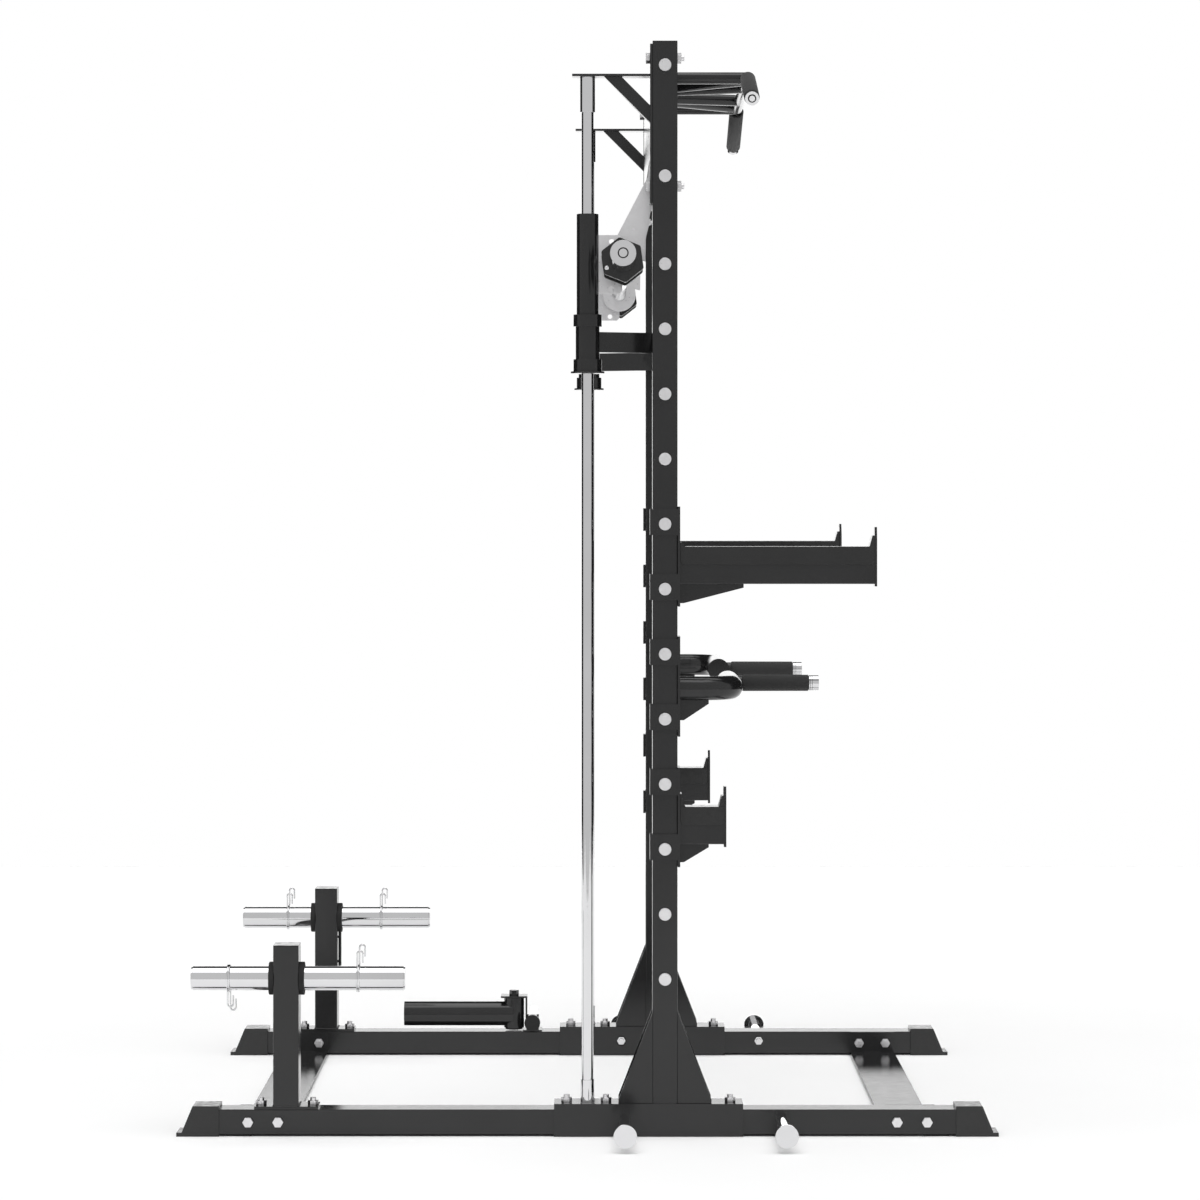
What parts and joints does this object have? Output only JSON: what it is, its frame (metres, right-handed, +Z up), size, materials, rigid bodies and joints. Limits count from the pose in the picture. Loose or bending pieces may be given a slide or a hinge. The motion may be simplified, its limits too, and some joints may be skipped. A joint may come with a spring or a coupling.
{
  "type": "half rack with guided barbell",
  "caption": "Floor-standing half rack: guided barbell with hooks and movable stops, plate storage, landmine, pull-up bar, safety arms, dip handles and hooks.",
  "frame": {"origin": "on the floor, midway between the two guide rods", "axes": "+X towards the lifter's side at the front, +Y to the left, +Z up"},
  "size_m": [1.645, 1.88, 2.192],
  "materials": {
    "black_steel": "satin black powder coat",
    "chrome": "bright chrome plate",
    "zinc": "clear zinc plate",
    "black_plastic": "moulded, fine texture",
    "bush_plastic": "turned acetal",
    "rubber": "matt",
    "foam": "closed-cell foam sleeve"
  },
  "bodies": {
    "frame": {"right_runner": "black_steel", "left_runner": "black_steel", "right_upright": "black_steel", "left_upright": "black_steel", "runner_feet": "black_plastic", "floor_pads": "rubber", "cross_plates": "black_steel", "cross_plate_bolts": "zinc", "runner_bolts": "zinc", "hanging_pegs": "zinc", "tube_caps": "black_plastic", "guide_rods": "chrome", "rod_sockets": "chrome", "top_brackets": "black_steel", "bracket_bolts": "zinc", "head_beam": "black_steel", "back_panel": "black_steel", "pull_up_frame": "black_steel", "pull_up_grips": "foam", "pull_up_caps": "chrome", "storage_posts": "black_steel", "storage_tubes": "chrome", "storage_buffers": "rubber", "band_pegs": "chrome", "landmine_base": "black_steel", "landmine_pin": "chrome", "landmine_knob": "rubber"},
    "right_spotter": {"right_spotter_arm": "black_steel", "right_spotter_liner": "black_plastic"},
    "right_dip": {"right_dip_bar": "black_steel", "right_dip_handle": "chrome", "right_dip_grip": "foam"},
    "right_hook": {"right_j_hook": "black_steel", "right_j_hook_liner": "black_plastic"},
    "right_rear_collar": {"right_rear_spring_collar": "chrome"},
    "right_front_collar": {"right_front_spring_collar": "chrome"},
    "right_stop_slider": {"right_stop_bush": "black_plastic"},
    "right_stop": {"right_stop_body": "black_steel"},
    "right_sleeve": {"right_bar_sleeve": "chrome", "right_bar_collars": "black_plastic"},
    "left_spotter": {"left_spotter_arm": "black_steel", "left_spotter_liner": "black_plastic"},
    "left_dip": {"left_dip_bar": "black_steel", "left_dip_handle": "chrome", "left_dip_grip": "foam"},
    "left_hook": {"left_j_hook": "black_steel", "left_j_hook_liner": "black_plastic"},
    "left_rear_collar": {"left_rear_spring_collar": "chrome"},
    "left_front_collar": {"left_front_spring_collar": "chrome"},
    "left_stop_slider": {"left_stop_bush": "black_plastic"},
    "left_stop": {"left_stop_body": "black_steel"},
    "left_sleeve": {"left_bar_sleeve": "chrome", "left_bar_collars": "black_plastic"},
    "carriages": {"carriage_tubes": "black_steel", "carriage_plates": "zinc", "carriage_bushes": "bush_plastic"},
    "barbell": {"lifting_bar": "chrome", "bar_hooks": "zinc"},
    "landmine_tilt": {"landmine_yoke": "black_steel"},
    "landmine_swing": {"landmine_sleeve": "black_steel"}
  },
  "joints": [
    {"name": "right_stop_slide", "type": "slide", "parent": "frame", "child": "right_stop_slider", "axis": [0, 0, 1], "range_m": [-1.3, 0]},
    {"name": "left_stop_slide", "type": "slide", "parent": "frame", "child": "left_stop_slider", "axis": [0, 0, 1], "range_m": [-1.3, 0]},
    {"name": "right_stop_swing", "type": "hinge", "parent": "right_stop_slider", "child": "right_stop", "pos_m": [0, -0.555, 1.59], "axis": [0, 0, 1], "range_deg": [-3.5, 60]},
    {"name": "left_stop_swing", "type": "hinge", "parent": "left_stop_slider", "child": "left_stop", "pos_m": [0, 0.555, 1.59], "axis": [0, 0, -1], "range_deg": [-3.5, 60]},
    {"name": "carriage_slide", "type": "slide", "parent": "right_stop_slider", "child": "carriages", "axis": [0, 0, 1], "range_m": [0, 0.15]},
    {"name": "bar_twist", "type": "hinge", "parent": "carriages", "child": "barbell", "pos_m": [0.069, 0, 1.744], "axis": [0, 1, 0], "range_deg": [-60, 4.5]},
    {"name": "right_sleeve_spin", "type": "hinge", "parent": "barbell", "child": "right_sleeve", "pos_m": [0.069, -0.8, 1.744], "axis": [0, 1, 0], "continuous": true},
    {"name": "left_sleeve_spin", "type": "hinge", "parent": "barbell", "child": "left_sleeve", "pos_m": [0.069, 0.8, 1.744], "axis": [0, 1, 0], "continuous": true},
    {"name": "landmine_tilt", "type": "hinge", "parent": "frame", "child": "landmine_tilt", "pos_m": [-0.13, 0.555, 0.0745], "axis": [0, 1, 0], "range_deg": [0, 75]},
    {"name": "landmine_swing", "type": "hinge", "parent": "landmine_tilt", "child": "landmine_swing", "pos_m": [-0.1726, 0.555, 0.092], "axis": [0, 0, 1], "range_deg": [-60, 60]},
    {"name": "right_spotter_pull_off", "type": "slide", "parent": "frame", "child": "right_spotter", "axis": [0, -1, 0], "range_m": [0, 0.08]},
    {"name": "right_dip_pull_off", "type": "slide", "parent": "frame", "child": "right_dip", "axis": [0, -1, 0], "range_m": [0, 0.08]},
    {"name": "right_hook_pull_off", "type": "slide", "parent": "frame", "child": "right_hook", "axis": [0, -1, 0], "range_m": [0, 0.08]},
    {"name": "left_spotter_pull_off", "type": "slide", "parent": "frame", "child": "left_spotter", "axis": [0, 1, 0], "range_m": [0, 0.08]},
    {"name": "left_dip_pull_off", "type": "slide", "parent": "frame", "child": "left_dip", "axis": [0, 1, 0], "range_m": [0, 0.08]},
    {"name": "left_hook_pull_off", "type": "slide", "parent": "frame", "child": "left_hook", "axis": [0, 1, 0], "range_m": [0, 0.08]},
    {"name": "right_rear_collar_slide", "type": "slide", "parent": "frame", "child": "right_rear_collar", "axis": [-1, 0, 0], "range_m": [-0.055, 0.1]},
    {"name": "right_front_collar_slide", "type": "slide", "parent": "frame", "child": "right_front_collar", "axis": [1, 0, 0], "range_m": [-0.09, 0.12]},
    {"name": "left_rear_collar_slide", "type": "slide", "parent": "frame", "child": "left_rear_collar", "axis": [-1, 0, 0], "range_m": [-0.03, 0.125]},
    {"name": "left_front_collar_slide", "type": "slide", "parent": "frame", "child": "left_front_collar", "axis": [1, 0, 0], "range_m": [-0.07, 0.14]}
  ],
  "couplings": [
    {"joint": "left_stop_slide", "follows": "right_stop_slide", "ratio": 1}
  ]
}
